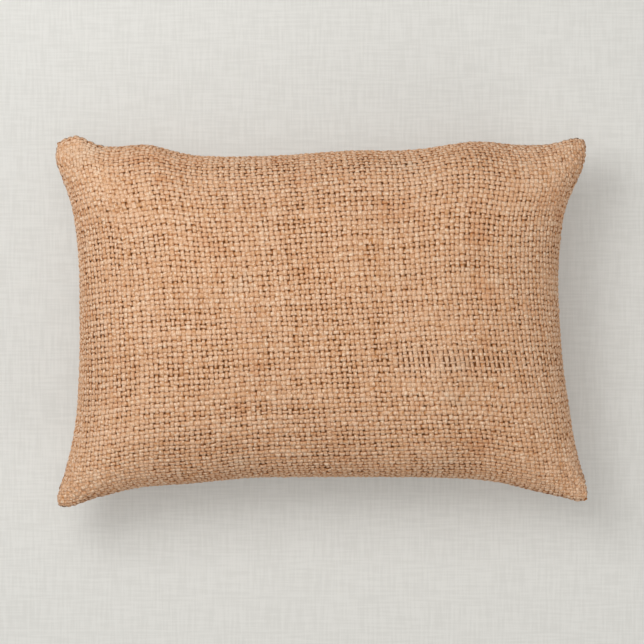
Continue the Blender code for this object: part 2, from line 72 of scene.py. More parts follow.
ZIP_PLACE = -0.88
ZIP_SINK = 0.7 * MM
ZIP_FLAT_HALF_LENGTH = 82 * MM
ZIP_FLAT_HALF_WIDTH = 9.5 * MM
ZIP_BLEND_LENGTH = 24 * MM
ZIP_BLEND_WIDTH = 9 * MM


def side_reach(side, puckers, share):
    middle, rise, power = side
    reach = middle + rise * np.abs(share) ** power
    for place, height, width in puckers:
        reach = reach + height * np.exp(-(((share - place) / width) ** 2))
    return reach


def form_plan(s, t, depth):
    """Place seen from the front at shares s and t of the half width and half height."""
    ear_top = np.where(s < 0, EAR_TOP_LEFT, EAR_TOP_RIGHT)
    ear_bottom = np.where(s < 0, EAR_BOTTOM_LEFT, EAR_BOTTOM_RIGHT)
    ear = np.where(t < 0, ear_bottom, ear_top)
    across = ear / CORNER_HALF_WIDTH
    up = ear / CORNER_HALF_HEIGHT
    p = np.clip((np.abs(s) - 1 + across) / across, 0, 1)
    q = np.clip((np.abs(t) - 1 + up) / up, 0, 1)
    s_ear = 1 - across + p * np.sqrt(1 - q * q / 2) * across
    t_ear = 1 - up + q * np.sqrt(1 - p * p / 2) * up
    s_round = np.copysign(np.where(p > 0, s_ear, np.abs(s)), s)
    t_round = np.copysign(np.where(q > 0, t_ear, np.abs(t)), t)
    right = side_reach(RIGHT_SIDE, RIGHT_PUCKERS, t_round)
    left = side_reach(LEFT_SIDE, LEFT_PUCKERS, t_round)
    top = side_reach(TOP_SIDE, TOP_PUCKERS, s_round)
    bottom = side_reach(BOTTOM_SIDE, BOTTOM_PUCKERS, s_round)
    x = s_round * (np.where(s >= 0, right, left) - depth)
    y = t_round * (np.where(t >= 0, top, bottom) - depth)
    return x, y


def form_crown(s, t):
    across = np.maximum(1 - np.abs(s) ** 3.4, 0)
    up = np.maximum(1 - np.abs(t) ** 2.4, 0)
    return np.sqrt(across * up)


def front_form(s, t, depth=0.0):
    x, y = form_plan(s, t, depth)
    return np.stack([x, y, SEAM_HEIGHT + (FRONT_RISE - depth) * form_crown(s, t)], axis=-1)


def round_back(s, t, depth=0.0):
    x, y = form_plan(s, t, depth)
    z = SEAM_HEIGHT - (BACK_DROP - depth) * form_crown(s, t)
    return np.stack([x, y, np.maximum(z, depth)], axis=-1)


above_zip, at_zip, below_zip = round_back(np.zeros(3), ZIP_PLACE + np.array([0.01, 0, -0.01]))
ZIP_ACROSS = (below_zip - above_zip) / np.linalg.norm(below_zip - above_zip)
ZIP_NORMAL = np.cross((1, 0, 0), ZIP_ACROSS)
ZIP_ORIGIN = at_zip - ZIP_NORMAL * ZIP_SINK

middle_shares = np.linspace(-1, 1, 4001)
middle_path = round_back(np.zeros(4001), middle_shares)
middle_steps = np.linalg.norm(np.diff(middle_path, axis=0), axis=1)
middle_length = np.concatenate([[0], np.cumsum(middle_steps)])
zip_length = np.interp(ZIP_PLACE, middle_shares, middle_length)


def zip_distance(t):
    """Cloth between t and the zip along the middle of the back, positive towards the seam."""
    return zip_length - np.interp(t, middle_shares, middle_length)


def smooth_fall(distance, full, blend):
    share = np.clip((np.abs(distance) - full) / blend, 0, 1)
    return 1 - share * share * (3 - 2 * share)


def zip_hold(x, t):
    """How firmly the zip's tapes hold the back flat, from 0 to 1."""
    along = smooth_fall(x, ZIP_FLAT_HALF_LENGTH, ZIP_BLEND_LENGTH)
    return along * smooth_fall(zip_distance(t), ZIP_FLAT_HALF_WIDTH, ZIP_BLEND_WIDTH)


def back_form(s, t, depth=0.0, depth_at_zip=0.0):
    free = round_back(s, t, depth)
    distance = zip_distance(t)[..., None]
    flat = ZIP_ORIGIN + ZIP_ACROSS * distance - ZIP_NORMAL * depth_at_zip
    flat[..., 0] = free[..., 0]
    hold = zip_hold(free[..., 0], t)[..., None]
    return free + (flat - free) * hold


def even_share(path, share):
    """Turns even steps of cloth, from -1 to 1, into shares along a path over the form."""
    steps = np.sin(np.linspace(-math.pi / 2, math.pi / 2, 2001))
    length = np.cumsum(np.linalg.norm(np.diff(path(steps), axis=0), axis=1))
    covered = np.concatenate([[0], length]) / length[-1] * 2 - 1
    return np.interp(share, covered, steps)


def cloth_grid(form, power):
    """Where each thread crossing of a cut panel lies on the form."""
    u, v = np.meshgrid(np.linspace(-1, 1, WARP_COUNT + 1), np.linspace(-1, 1, WEFT_COUNT + 1),
                       indexing="ij")
    s = even_share(lambda share: form(share, share * 0), u)
    t = even_share(lambda share: form(share * 0, share), v)
    s = s + (u - s) * np.abs(v) ** power
    t = t + (v - t) * np.abs(u) ** power
    return form(s, t), s, t


front_grid, front_s, front_t = cloth_grid(front_form, 4)
back_grid, back_s, back_t = cloth_grid(back_form, 8)
front_shift = front_grid * 0
back_shift = back_grid * 0
zip_row = np.interp(ZIP_PLACE, back_t[WARP_COUNT // 2], np.linspace(-0.5, 0.5, WEFT_COUNT + 1))
ZIP_CUT = zip_row * CUT_HEIGHT

STUFF_FRAMES = 20
STUFF_PRESSURE = 30.0
STUFF_REACH = 4.5 * MM
HELD_SHARE = 0.35


def panel_faces(index, flip):
    a = index[:-1, :-1].ravel()
    b = index[1:, :-1].ravel()
    c = index[1:, 1:].ravel()
    d = index[:-1, 1:].ravel()
    rows = (a, d, c, b) if flip else (a, b, c, d)
    return np.stack(rows, axis=1)


def plain_mesh(name, points, faces):
    mesh = bpy.data.meshes.new(name)
    mesh.from_pydata(points.reshape(-1, 3).tolist(), [], faces)
    return mesh


def sewn_round(front, back):
    """Points and faces of two grids that share their rim, with the vertex of each grid place."""
    front_index = np.arange(front.shape[0] * front.shape[1]).reshape(front.shape[:2])
    back_index = front_index.copy()
    inner = (front.shape[0] - 2, front.shape[1] - 2)
    back_index[1:-1, 1:-1] = front_index.size + np.arange(inner[0] * inner[1]).reshape(inner)
    points = np.concatenate([front.reshape(-1, 3), back[1:-1, 1:-1].reshape(-1, 3)])
    faces = np.concatenate([panel_faces(front_index, False), panel_faces(back_index, True)])
    return points, faces, front_index, back_index


def stuff_cover():
    """Blows the sewn cover up from its flat cut, held at the seam and the zip."""
    points, faces, front_index, back_index = sewn_round(front_grid, back_grid)
    shape = front_index.shape
    mesh = plain_mesh("cover_in_one", points, faces.tolist())
    cover = bpy.data.objects.new("cover_in_one", mesh)
    bpy.context.scene.collection.objects.link(cover)
    u, v = np.meshgrid(np.linspace(-0.5, 0.5, shape[0]) * CUT_WIDTH,
                       np.linspace(-0.5, 0.5, shape[1]) * CUT_HEIGHT, indexing="ij")
    flat = np.stack([u, v, u * 0 + SEAM_HEIGHT], axis=-1)
    cover.shape_key_add(name="stuffed", from_mix=False)
    cut = cover.shape_key_add(name="cut", from_mix=False)
    cut_points = sewn_round(flat, flat)[0]
    cut.data.foreach_set("co", cut_points.ravel())
    sewn = set(front_index[0]) | set(front_index[-1])
    sewn |= set(front_index[:, 0]) | set(front_index[:, -1])
    at_tapes = zip_hold(back_grid[..., 0], back_t) > HELD_SHARE
    sewn |= set(back_index[at_tapes])
    held = cover.vertex_groups.new(name="sewn")
    held.add([int(vertex) for vertex in sewn], 1.0, "REPLACE")
    cloth = cover.modifiers.new("cloth", "CLOTH")
    settings = cloth.settings
    settings.rest_shape_key = cut
    settings.quality = 6
    settings.mass = 0.002
    settings.tension_stiffness = 20
    settings.compression_stiffness = 5
    settings.shear_stiffness = 2
    settings.bending_stiffness = 0.05
    settings.air_damping = 3
    settings.vertex_group_mass = "sewn"
    settings.use_pressure = True
    settings.uniform_pressure_force = STUFF_PRESSURE
    settings.effector_weights.gravity = 0
    cloth.point_cache.frame_start = 1
    cloth.point_cache.frame_end = STUFF_FRAMES
    for step in range(1, STUFF_FRAMES + 1):
        bpy.context.scene.frame_set(step)
    stuffed = cover.evaluated_get(bpy.context.evaluated_depsgraph_get()).data
    moved = np.zeros(len(points) * 3)
    stuffed.vertices.foreach_get("co", moved)
    bpy.data.objects.remove(cover)
    bpy.context.scene.frame_set(1)
    shift = moved.reshape(-1, 3) - points
    size = np.linalg.norm(shift, axis=1, keepdims=True)
    shift *= np.tanh(size / STUFF_REACH) * STUFF_REACH / np.maximum(size, 1e-9)
    return shift[front_index], shift[back_index]


front_shift, back_shift = stuff_cover()


def front_layer(depth):
    """The crossings of the front panel, for a layer this deep under the cover."""
    return front_form(front_s, front_t, depth) + front_shift


def back_layer(depth, depth_at_zip):
    layer = back_form(back_s, back_t, depth, depth_at_zip) + back_shift
    layer[..., 2] = np.maximum(layer[..., 2], depth)
    return layer


def outward(grid, direction):
    normal = np.cross(np.gradient(grid, axis=0), np.gradient(grid, axis=1)) * direction
    return normal / np.maximum(np.linalg.norm(normal, axis=2, keepdims=True), 1e-9)


def edge_ready(grid):
    return np.pad(grid, ((1, 2), (1, 2), (0, 0)), mode="reflect", reflect_type="odd")


FRONT = {"points": edge_ready(front_layer(0)), "turn_in": SEAM_HEIGHT + 0.3 * MM,
         "normals": edge_ready(outward(front_layer(0), 1))}
BACK = {"points": edge_ready(back_layer(0, 0)), "turn_in": SEAM_HEIGHT - 0.3 * MM,
        "normals": edge_ready(outward(back_layer(0, 0), -1))}


def weights(f):
    return (-0.5 * f + f * f - 0.5 * f ** 3, 1 - 2.5 * f * f + 1.5 * f ** 3,
            0.5 * f + 2 * f * f - 1.5 * f ** 3, -0.5 * f * f + 0.5 * f ** 3)


def on_cloth(values, u, v):
    """A smooth reading of a panel's grid at cloth places u, v, measured from its middle."""
    across = u / WARP_PITCH + WARP_COUNT / 2
    up = v / WEFT_PITCH + WEFT_COUNT / 2
    i = np.clip(np.floor(across).astype(int), 0, WARP_COUNT - 1)
    j = np.clip(np.floor(up).astype(int), 0, WEFT_COUNT - 1)
    total = 0
    for a, share_a in enumerate(weights(across - i)):
        for b, share_b in enumerate(weights(up - j)):
            total = total + values[i + a, j + b] * (share_a * share_b)[..., None]
    return total


def cover_point(panel, u, v, depth):
    normal = on_cloth(panel["normals"], u, v)
    normal = normal / np.maximum(np.linalg.norm(normal, axis=-1, keepdims=True), 1e-9)
    depth = np.broadcast_to(depth, u.shape)[..., None]
    return on_cloth(panel["points"], u, v) - normal * depth, normal


# ---- Burlap yarns ---------------------------------------------------------------------------
# The panels are plain-woven hessian, about 11 jute yarns to the inch each way. Every yarn is
# laid over and under its neighbours, thick and thin as spun, and turned in at the seam.

YARN_HALF_WIDTH = 1.08 * MM
YARN_HALF_THICKNESS = 0.39 * MM
YARN_SWAY = 0.30 * MM
YARN_DEPTH = 0.68 * MM
FIBRE_TWIST = 0.45
FIBRE_FINENESS = 7.0
WARP_LEAN = math.tan(math.radians(4.2))
WEFT_RISE = math.tan(math.radians(1.8))
YARN_WANDER = 0.20 * MM
SPARE_YARNS = 6
SEAM_STOP = 0.3 * MM
SEAM_REACH = 2.5 * MM
SEAM_TURN = (0.7 * MM, 1.9 * MM)
FOLD_TURN = (0.35 * MM, 0.75 * MM)
THIN_PLACE = -21 * MM
THIN_LEFT = 26 * MM
THIN_RIGHT = 118 * MM
THIN_FADE_LEFT = 20 * MM
THIN_FADE_RIGHT = 60 * MM
THIN_HALF_HEIGHT = 7 * MM
THIN_PUSH = 1.5 * MM


def material(name):
    """A new material, its node tree, its shader and the place on the object."""
    made = bpy.data.materials.new(name)
    made.use_nodes = True
    tree = made.node_tree
    place = tree.nodes.new("ShaderNodeTexCoord").outputs["Object"]
    return made, tree, tree.nodes["Principled BSDF"], place


def link(tree, source, target):
    tree.links.new(source, target)


def shader_node(tree, kind, **settings):
    made = tree.nodes.new(kind)
    for name, value in settings.items():
        setattr(made, name, value)
    return made


def noise(tree, vector, scale, detail=3.0, roughness=0.55):
    made = shader_node(tree, "ShaderNodeTexNoise")
    made.inputs["Scale"].default_value = scale
    made.inputs["Detail"].default_value = detail
    made.inputs["Roughness"].default_value = roughness
    link(tree, vector, made.inputs["Vector"])
    return made.outputs["Fac"]


def ramp(tree, value, low, high, start=0.0, end=1.0):
    made = shader_node(tree, "ShaderNodeMapRange", interpolation_type="SMOOTHSTEP")
    for name, number in (("From Min", low), ("From Max", high), ("To Min", start), ("To Max", end)):
        made.inputs[name].default_value = number
    link(tree, value, made.inputs["Value"])
    return made.outputs["Result"]


def arithmetic(tree, operation, first, second):
    made = shader_node(tree, "ShaderNodeMath", operation=operation)
    for socket, value in zip(made.inputs, (first, second)):
        if isinstance(value, (int, float)):
            socket.default_value = value
        else:
            link(tree, value, socket)
    return made.outputs[0]


def mix_colour(tree, share, first, second, blend="MIX"):
    made = shader_node(tree, "ShaderNodeMix", data_type="RGBA", blend_type=blend)
    for socket, value in ((made.inputs[0], share), (made.inputs[6], first), (made.inputs[7], second)):
        if isinstance(value, (int, float)):
            socket.default_value = value
        elif isinstance(value, tuple):
            socket.default_value = (*value, 1.0)
        else:
            link(tree, value, socket)
    return made.outputs[2]


def tuned_vector(tree, vector, scale, turn=(0, 0, 0)):
    made = shader_node(tree, "ShaderNodeMapping")
    made.inputs["Scale"].default_value = scale
    made.inputs["Rotation"].default_value = turn
    link(tree, vector, made.inputs["Vector"])
    return made.outputs["Vector"]


def add_relief(tree, shader, height, strength, distance):
    bump = shader_node(tree, "ShaderNodeBump")
    bump.inputs["Strength"].default_value = strength
    bump.inputs["Distance"].default_value = distance
    link(tree, height, bump.inputs["Height"])
    link(tree, bump.outputs["Normal"], shader.inputs["Normal"])


def new_group(name, inputs, outputs):
    tree = bpy.data.node_groups.new(name, "ShaderNodeTree")
    for label, kind, value in inputs:
        socket = tree.interface.new_socket(label, in_out="INPUT", socket_type=kind)
        if value is not None:
            socket.default_value = value
    for label, kind in outputs:
        tree.interface.new_socket(label, in_out="OUTPUT", socket_type=kind)
    return tree, tree.nodes.new("NodeGroupInput"), tree.nodes.new("NodeGroupOutput")


def place_group(tree, group, **values):
    made = shader_node(tree, "ShaderNodeGroup", node_tree=group)
    for label, value in values.items():
        socket = made.inputs[label]
        if isinstance(value, (int, float)):
            socket.default_value = value
        else:
            link(tree, value, socket)
    return made


def stain_group():
    """Soft blotches over a surface: a mask from 0, clean, to 1, stained."""
    tree, entry, out = new_group(
        "stain",
        [("Vector", "NodeSocketVector", None), ("Scale", "NodeSocketFloat", 30.0),
         ("Spread", "NodeSocketFloat", 0.5)],
        [("Mask", "NodeSocketFloat")])
    patches = shader_node(tree, "ShaderNodeTexNoise")
    patches.inputs["Detail"].default_value = 5.0
    patches.inputs["Roughness"].default_value = 0.62
    link(tree, entry.outputs["Vector"], patches.inputs["Vector"])
    link(tree, entry.outputs["Scale"], patches.inputs["Scale"])
    above = arithmetic(tree, "SUBTRACT", patches.outputs["Fac"], entry.outputs["Spread"])
    link(tree, ramp(tree, above, 0.0, 0.14), out.inputs["Mask"])
    return tree


stain = stain_group()


def jute_material():
    made, tree, shader, place = material("jute_burlap")
    yarn = shader_node(tree, "ShaderNodeUVMap", uv_map="yarn").outputs["UV"]
    tone = shader_node(tree, "ShaderNodeAttribute", attribute_name="tone").outputs["Fac"]
    parts = shader_node(tree, "ShaderNodeSeparateXYZ")
    link(tree, yarn, parts.inputs[0])
    wound = arithmetic(tree, "MULTIPLY", parts.outputs["X"], FIBRE_TWIST)
    turned = arithmetic(tree, "ADD", parts.outputs["Y"], wound)
    wrapped = shader_node(tree, "ShaderNodeCombineXYZ")
    link(tree, arithmetic(tree, "MULTIPLY", parts.outputs["X"], 0.45), wrapped.inputs["X"])
    link(tree, arithmetic(tree, "MULTIPLY", turned, FIBRE_FINENESS), wrapped.inputs["Y"])
    fibres = noise(tree, wrapped.outputs[0], 1.0, detail=4.0, roughness=0.65)
    colour = mix_colour(tree, ramp(tree, noise(tree, place, 26), 0.35, 0.68),
                        (0.700, 0.425, 0.250), (0.620, 0.355, 0.195))
    colour = mix_colour(tree, ramp(tree, tone, 0.0, 1.0, 0.0, 0.75), colour,
                        (0.775, 0.530, 0.365))
    beads = noise(tree, tuned_vector(tree, yarn, (0.42, 1.0, 1.0)), 1.0, detail=2.0)
    colour = mix_colour(tree, ramp(tree, beads, 0.50, 0.66, 0.0, 0.85), colour,
                        (0.860, 0.680, 0.510))
    colour = mix_colour(tree, ramp(tree, beads, 0.48, 0.30, 0.0, 0.8), colour,
                        (0.540, 0.265, 0.100))
    wisps = noise(tree, tuned_vector(tree, yarn, (1.6, 2.5, 1.0)), 1.0, detail=3.0)
    colour = mix_colour(tree, ramp(tree, wisps, 0.54, 0.72, 0.0, 0.7), colour,
                        (0.890, 0.730, 0.570))
    colour = mix_colour(tree, ramp(tree, wisps, 0.46, 0.30, 0.0, 0.7), colour,
                        (0.500, 0.265, 0.110))
    rust = place_group(tree, stain, Vector=place, Scale=48.0, Spread=0.57)
    colour = mix_colour(tree, arithmetic(tree, "MULTIPLY", rust.outputs["Mask"], 0.42), colour,
                        (0.590, 0.275, 0.115))
    pale = place_group(tree, stain, Vector=tuned_vector(tree, place, (1, 1, 1), (0.7, 0.4, 1.9)),
                       Scale=34.0, Spread=0.58)
    colour = mix_colour(tree, arithmetic(tree, "MULTIPLY", pale.outputs["Mask"], 0.6), colour,
                        (0.740, 0.570, 0.420))
    # Painted shade: the furrows between the twisted fibres, the low places of the relief below, are
    # darkened in the colour.
    furrow = ramp(tree, ramp(tree, fibres, 0.25, 0.6), 0.0, 1.0)
    painted_shade = mix_colour(tree, furrow, (0.74, 0.52, 0.34), (1.0, 1.0, 1.0))
    colour = mix_colour(tree, 1.0, colour, painted_shade, blend="MULTIPLY")
    # Painted shade: each yarn's sides, turned away from its top, are darkened in the colour.
    turn = arithmetic(tree, "MULTIPLY", parts.outputs["Y"], math.tau)
    flank = ramp(tree, arithmetic(tree, "COSINE", turn, 0.0), 0.0, 0.9)
    painted_shade = mix_colour(tree, flank, (0.62, 0.38, 0.17), (1.0, 1.0, 1.0))
    colour = mix_colour(tree, 1.0, colour, painted_shade, blend="MULTIPLY")
    # Painted shade: a yarn is darkened where it dives under the yarn crossing it, by the sunk
    # attribute.
    sunk = shader_node(tree, "ShaderNodeAttribute", attribute_name="sunk").outputs["Fac"]
    painted_shade = mix_colour(tree, ramp(tree, sunk, 0.28, 0.76), (1.0, 1.0, 1.0), (0.69, 0.46, 0.23))
    colour = mix_colour(tree, 1.0, colour, painted_shade, blend="MULTIPLY")
    link(tree, colour, shader.inputs["Base Color"])
    link(tree, ramp(tree, beads, 0.2, 0.8, 0.92, 0.78), shader.inputs["Roughness"])
    shader.inputs["Specular IOR Level"].default_value = 0.25
    shader.inputs["Sheen Weight"].default_value = 0.12
    shader.inputs["Sheen Roughness"].default_value = 0.5
    add_relief(tree, shader, ramp(tree, fibres, 0.3, 0.7), 0.7, 0.25 * MM)
    return made


jute = jute_material()


def tube_mesh(name, tubes, sides):
    """One mesh of closed tubes: points, normals, half widths, half thicknesses, tone, sunk."""
    angles = np.arange(sides) * 2 * math.pi / sides + math.pi / 2
    verts, quads, caps, tones, depths, bake, yarn_places, cap_bake = ([] for _ in range(8))
    start = 0
    corner_along = np.array([0, 1, 1, 0])
    corner_around = np.array([0, 0, 1, 1])
    for number, (points, normals, half_widths, half_thicknesses, tone, sunk) in enumerate(tubes):
        count = len(points)
        tangent = np.gradient(points, axis=0)
        tangent /= np.maximum(np.linalg.norm(tangent, axis=1, keepdims=True), 1e-12)
        normals = normals - tangent * (normals * tangent).sum(axis=1, keepdims=True)
        normals /= np.maximum(np.linalg.norm(normals, axis=1, keepdims=True), 1e-12)
        side = np.cross(tangent, normals)
        wide = np.broadcast_to(half_widths, count)[:, None, None]
        thick = np.broadcast_to(half_thicknesses, count)[:, None, None]
        ring = (side[:, None] * wide * np.cos(angles)[None, :, None]
                + normals[:, None] * thick * np.sin(angles)[None, :, None])
        verts.append((points[:, None] + ring).reshape(-1, 3))
        m, j = np.meshgrid(np.arange(count - 1), np.arange(sides), indexing="ij")
        rings = m[..., None] + corner_along
        turns = j[..., None] + corner_around
        quads.append((start + rings * sides + turns % sides).reshape(-1, 4))
        length = np.concatenate([[0], np.cumsum(np.linalg.norm(np.diff(points, axis=0), axis=1))])
        around = turns / sides
        strip = (number + 0.05 + 0.9 * around) / len(tubes)
        bake.append(np.stack([0.002 + 0.996 * rings / (count - 1), strip], axis=-1).reshape(-1, 2))
        yarn_places.append(
            np.stack([length[rings] / MM, around + number * 7], axis=-1).reshape(-1, 2))
        caps.append(start + np.arange(sides))
        caps.append(start + (count - 1) * sides + np.arange(sides)[::-1])
        cap_bake.append(np.full((sides, 2), (0.001, strip.min())))
        cap_bake.append(np.full((sides, 2), (0.999, strip.min())))
        tones.append(np.full(count * sides, tone))
        depths.append(np.repeat(np.broadcast_to(sunk, count), sides))
        start += count * sides
    verts = np.concatenate(verts)
    quads = np.concatenate(quads)
    caps = np.stack(caps)
    mesh = bpy.data.meshes.new(name)
    mesh.vertices.add(len(verts))
    mesh.vertices.foreach_set("co", verts.ravel())
    corners = np.concatenate([quads.ravel(), caps.ravel()])
    mesh.loops.add(len(corners))
    mesh.loops.foreach_set("vertex_index", corners)
    starts = np.concatenate([np.arange(len(quads)) * 4,
                             quads.size + np.arange(len(caps)) * sides])
    mesh.polygons.add(len(starts))
    mesh.polygons.foreach_set("loop_start", starts)
    mesh.update(calc_edges=True)
    mesh.shade_smooth()
    baked = mesh.uv_layers.new(name="OFBake")
    baked.data.foreach_set("uv", np.concatenate(bake + cap_bake).ravel())
    laid = mesh.uv_layers.new(name="yarn")
    laid.data.foreach_set("uv", np.concatenate(yarn_places + cap_bake).ravel())
    tone_layer = mesh.attributes.new("tone", "FLOAT", "POINT")
    tone_layer.data.foreach_set("value", np.concatenate(tones))
    # The sunk attribute drives the jute's painted shade where a yarn dives under its neighbour.
    sunk_layer = mesh.attributes.new("sunk", "FLOAT", "POINT")
    sunk_layer.data.foreach_set("value", np.concatenate(depths).astype(float))
    mesh.validate()
    return mesh


def add_piece(name, mesh, finish, body="cover"):
    piece = bpy.data.objects.new(name, mesh)
    bpy.context.scene.collection.objects.link(piece)
    mesh.materials.clear()
    mesh.materials.append(finish)
    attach(piece, body)
    return piece


def drift(chance, count, steps_per_knot, amount):
    """Smooth random wander for count samples in a row."""
    knots = chance.normal(0, amount, int(count / steps_per_knot) + 3)
    place = np.arange(count) / steps_per_knot
    lower = np.floor(place).astype(int)
    share = place - lower
    share = share * share * (3 - 2 * share)
    return knots[lower] * (1 - share) + knots[lower + 1] * share


def thin_share(u):
    """1 where the front's weft lies thin and wide apart, falling to 0 towards the left."""
    rise = np.clip((u - THIN_LEFT) / THIN_FADE_LEFT, 0, 1)
    fall = np.clip((THIN_RIGHT - u) / THIN_FADE_RIGHT, 0, 1)
    return rise * fall


def weft_place(panel, number, u):
    """Cloth height of a weft at u, where the front's thin place pushes the rows apart."""
    place = (number + 0.5) * WEFT_PITCH - CUT_HEIGHT / 2
    if panel is FRONT:
        away = (place - THIN_PLACE) / THIN_HALF_HEIGHT
        spread = (0.3 + 0.9 * thin_share(u)) * THIN_PUSH
        place = place + spread * np.tanh(away * 1.6) * np.exp(-away ** 2 / 4)
    return place


def lay_yarn(panel, u, v, height, half_width, half_thickness, tone, inside):
    """A tube along the cloth path (u, v) for each stretch inside the panel, ends turned in."""
    made = []
    edges = np.flatnonzero(np.diff(np.concatenate([[0], inside.astype(int), [0]])))
    for first, last in zip(edges[::2], edges[1::2]):
        if last - first < 4:
            continue
        run = slice(first, last)
        points, normals = cover_point(panel, u[run], v[run], YARN_DEPTH - height[run])
        ends = []
        for end in (0, -1):
            to_side = abs(abs(u[run][end]) - CUT_WIDTH / 2)
            to_rim = abs(abs(v[run][end]) - CUT_HEIGHT / 2)
            near_seam = min(to_side, to_rim) < SEAM_REACH
            steps = SEAM_TURN if near_seam else FOLD_TURN
            rows = np.array([points[end] - normals[end] * step for step in steps])
            if near_seam:
                rows[:, 2] = panel["turn_in"]
            ends.append(rows)
        points = np.concatenate([ends[0][::-1], points, ends[1]])
        normals = np.concatenate([normals[[0, 0]], normals, normals[[-1, -1]]])
        # sunk runs from 0 on top to 1 under the crossing yarn; it sets the yarn's painted shade where
        # it dives.
        sunk = np.clip(0.5 - height[run] / YARN_SWAY / 2, 0, 1)
        # In the front's thin place the rows lie apart, and less painted shade is put there.
        if panel is FRONT:
            rows_away = (v[run] - THIN_PLACE - WEFT_RISE * u[run]) / WEFT_PITCH
            sunk = sunk * (1 - 0.75 * thin_share(u[run]) * np.exp(-(rows_away / 2.5) ** 2))
        wide, thick, sunk = (np.pad(values, 2, mode="edge")
                             for values in (half_width[run], half_thickness[run], sunk))
        made.append((points, normals, wide, thick, tone, sunk))
    return made


def as_cut(u, v):
    return v


def everywhere(u, v):
    return np.ones(u.shape, bool)


def spin(chance, count, samples, knot, unevenness):
    """A yarn's thickness along its length: its own size, thick and thin stretches, and slubs."""
    own, stretches, slubs = unevenness
    spun = chance.normal(1, own) + drift(chance, count, samples * knot, stretches)
    return np.maximum(spun + drift(chance, count, samples * 0.8, slubs), 0.6)


def weave(panel, ease, keep, samples, seed):
    """Warp and weft tubes for the part of a panel that keep(u, v) says is there."""
    chance = np.random.default_rng(seed)
    warps, wefts = [], []
    weft_numbers = np.arange(-SPARE_YARNS, WEFT_COUNT + SPARE_YARNS)
    warp_numbers = np.arange(-SPARE_YARNS, WARP_COUNT + SPARE_YARNS)
    for number in warp_numbers:
        counted = np.arange(-SPARE_YARNS, WEFT_COUNT + SPARE_YARNS - 1, 1 / samples)
        count = len(counted)
        base = (number + 0.5) * WARP_PITCH - CUT_WIDTH / 2
        rows = np.interp(counted, weft_numbers, weft_place(panel, weft_numbers, base))
        u = base - WARP_LEAN * (rows + WEFT_RISE * base)
        v = rows + WEFT_RISE * u
        u = u + drift(chance, count, samples * 2.5, YARN_WANDER)
        height = YARN_SWAY * np.cos(math.pi * counted) * (-1.0) ** number
        height = height * (1 + drift(chance, count, samples, 0.20))
        spun = spin(chance, count, samples, 5, (0.06, 0.11, 0.09))
        warps.append((u, v, height, YARN_HALF_WIDTH * 0.96 * spun,
                      YARN_HALF_THICKNESS * spun, chance.uniform()))
    for number in weft_numbers:
        counted = np.arange(-SPARE_YARNS, WARP_COUNT + SPARE_YARNS - 1, 1 / samples)
        count = len(counted)
        base = np.interp(counted, warp_numbers, (warp_numbers + 0.5) * WARP_PITCH - CUT_WIDTH / 2)
        v = weft_place(panel, number, base) + WEFT_RISE * base
        u = base - WARP_LEAN * v
        v = v + drift(chance, count, samples * 2.5, YARN_WANDER)
        height = -YARN_SWAY * np.cos(math.pi * counted) * (-1.0) ** number
        height = height * (1 + drift(chance, count, samples, 0.20))
        spun = spin(chance, count, samples, 6, (0.07, 0.13, 0.10))
        wide = YARN_HALF_WIDTH * spun
        if panel is FRONT:
            row = abs(weft_place(panel, number, base) - THIN_PLACE) / WEFT_PITCH
            wide = wide * (1 - 0.30 * thin_share(u) * np.exp(-(row / 2.4) ** 2))
            slub = np.exp(-(row / 0.8) ** 2) * (u < THIN_LEFT + 6 * MM)
            wide = wide * (1 + slub * np.clip(0.25 + drift(chance, count, samples * 3, 0.4), 0, 0.6))
        wefts.append((u, v, height, wide, YARN_HALF_THICKNESS * spun, chance.uniform()))
    made = []
    for group in (warps, wefts):
        tubes = []
        for u, v, height, wide, thick, tone in group:
            v = ease(u, v)
            inside = (np.abs(u) < CUT_WIDTH / 2 - SEAM_STOP) & (np.abs(v) < CUT_HEIGHT / 2 - SEAM_STOP)
            tubes.append(lay_yarn(panel, u, v, height, wide, thick, tone, inside & keep(u, v)))
        made.append(tubes)
    return made


def yarn_pieces(names, groups, replaced):
    """A piece for each share of the yarns, in place of the CAD part that it hides."""
    for name, tubes in zip(names, groups):
        laid = [tube for yarn in tubes for tube in yarn]
        piece = add_piece(name, tube_mesh(name, laid, 6), jute)
        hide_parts(replaced)


def shares(tubes, count):
    return [tubes[part * len(tubes) // count:(part + 1) * len(tubes) // count]
            for part in range(count)]


front_warps, front_wefts = weave(FRONT, as_cut, everywhere, 4, 11)
yarn_pieces(("front_warp_left", "front_warp_middle", "front_warp_right"),
            shares(front_warps, 3), "front_panel")
yarn_pieces(("front_weft_lower", "front_weft_middle", "front_weft_upper"),
            shares(front_wefts, 3), "front_panel")

# ---- Burlap back ----------------------------------------------------------------------------
# The back is two pieces of the same hessian, folded under along the slot that the zip fills.
# Past the zip's ends the folds meet in a plain seam.

SLOT_REACH = 71.4 * MM
SLOT_END = 2.2 * MM
SLOT_HALF_WIDTH = 5 * MM
FOLD_EASE = 30 * MM
FOLD_STOP = YARN_HALF_WIDTH * 0.5
slot_row = back_grid[:, int(round(ZIP_CUT / WEFT_PITCH + WEFT_COUNT / 2)), 0]
SLOT_HALF_LENGTH = np.interp(SLOT_REACH, slot_row, np.linspace(-0.5, 0.5, WARP_COUNT + 1)) * CUT_WIDTH


def slot_half(u, half_width, closed=0.15 * MM):
    """Half width of the zip's slot at u, closing to a seam past the ends of the zip."""
    open_share = np.clip((SLOT_HALF_LENGTH + SLOT_END - np.abs(u)) / SLOT_END, 0, 1)
    return closed + (half_width - closed) * open_share


